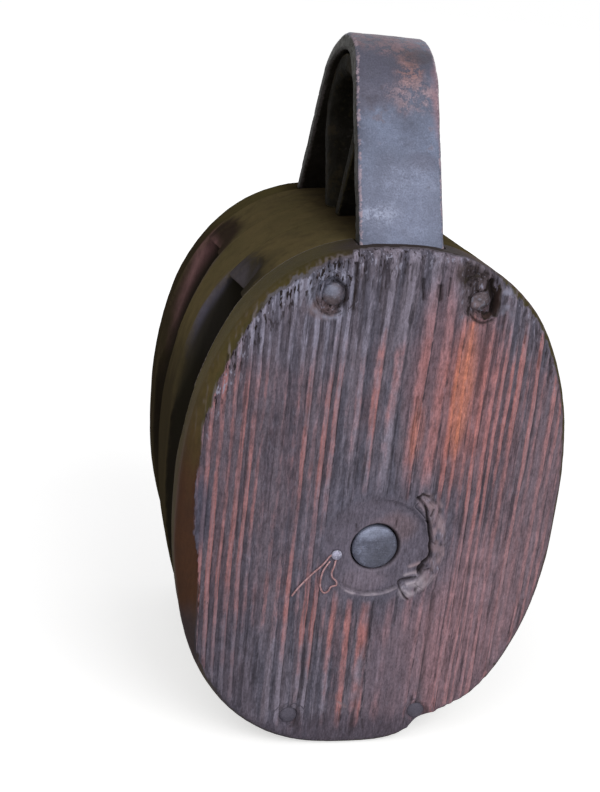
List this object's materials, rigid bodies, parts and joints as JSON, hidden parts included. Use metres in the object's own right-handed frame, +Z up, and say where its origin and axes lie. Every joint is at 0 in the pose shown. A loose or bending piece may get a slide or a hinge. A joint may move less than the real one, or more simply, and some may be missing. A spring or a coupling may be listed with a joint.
{
  "type": "ship's double block pulley",
  "caption": "Wooden ship's block with two rope sheaves side by side on one pin and an iron strap that ends in a thimbled eye.",
  "frame": {"origin": "centre of the flat at the foot of the shell, midway across the face and midway through the layers", "axes": "+Z up from the foot to the eye, +Y from the front cheek to the rear cheek along the sheaves' axis, +X to the right across the face"},
  "size_m": [0.152, 0.1406, 0.2776],
  "materials": {
    "front_wood": "weathered open-grained softwood, dark blue-grey ridges over red-brown",
    "rear_wood": "weathered open-grained softwood",
    "edge_wood": "smooth worn wood with a dark olive-brown skin",
    "sheave_wood": "dark oily hardwood",
    "strap_iron": "worn blue-grey wrought iron with rust-pink patches",
    "thimble_iron": "dark wrought iron",
    "pin_iron": "worn iron",
    "rivet_iron": "dark iron",
    "coak_bronze": "dull bronze",
    "tack_metal": "dull pale metal",
    "wire_copper": "dull copper",
    "cover_leather": "hard dark leather"
  },
  "bodies": {
    "shell": {"front_cheek": "front_wood", "rear_cheek": "rear_wood", "centre_partition": "edge_wood", "front_top_chock": "edge_wood", "rear_top_chock": "edge_wood", "front_bottom_chock": "edge_wood", "rear_bottom_chock": "edge_wood", "iron_strap": "strap_iron", "thimble": "thimble_iron", "sheave_pin": "pin_iron", "shell_rivets": "rivet_iron", "rivet_roves": "rivet_iron", "front_tack": "tack_metal", "tack_wire": "wire_copper", "rear_pin_cover": "cover_leather", "rear_cover_tacks": "tack_metal"},
    "front_sheave_body": {"front_sheave": "sheave_wood", "front_sheave_coak": "coak_bronze", "front_sheave_coak_plate": "coak_bronze", "front_sheave_rivets": "coak_bronze"},
    "rear_sheave_body": {"rear_sheave": "sheave_wood", "rear_sheave_coak": "coak_bronze", "rear_sheave_coak_plate": "coak_bronze", "rear_sheave_rivets": "coak_bronze"}
  },
  "joints": [
    {"name": "front_sheave_turn", "type": "hinge", "parent": "shell", "child": "front_sheave_body", "pos_m": [0.002, -0.03275, 0.0905], "axis": [0, 1, 0], "continuous": true},
    {"name": "rear_sheave_turn", "type": "hinge", "parent": "shell", "child": "rear_sheave_body", "pos_m": [0.002, 0.03275, 0.0905], "axis": [0, 1, 0], "continuous": true}
  ]
}
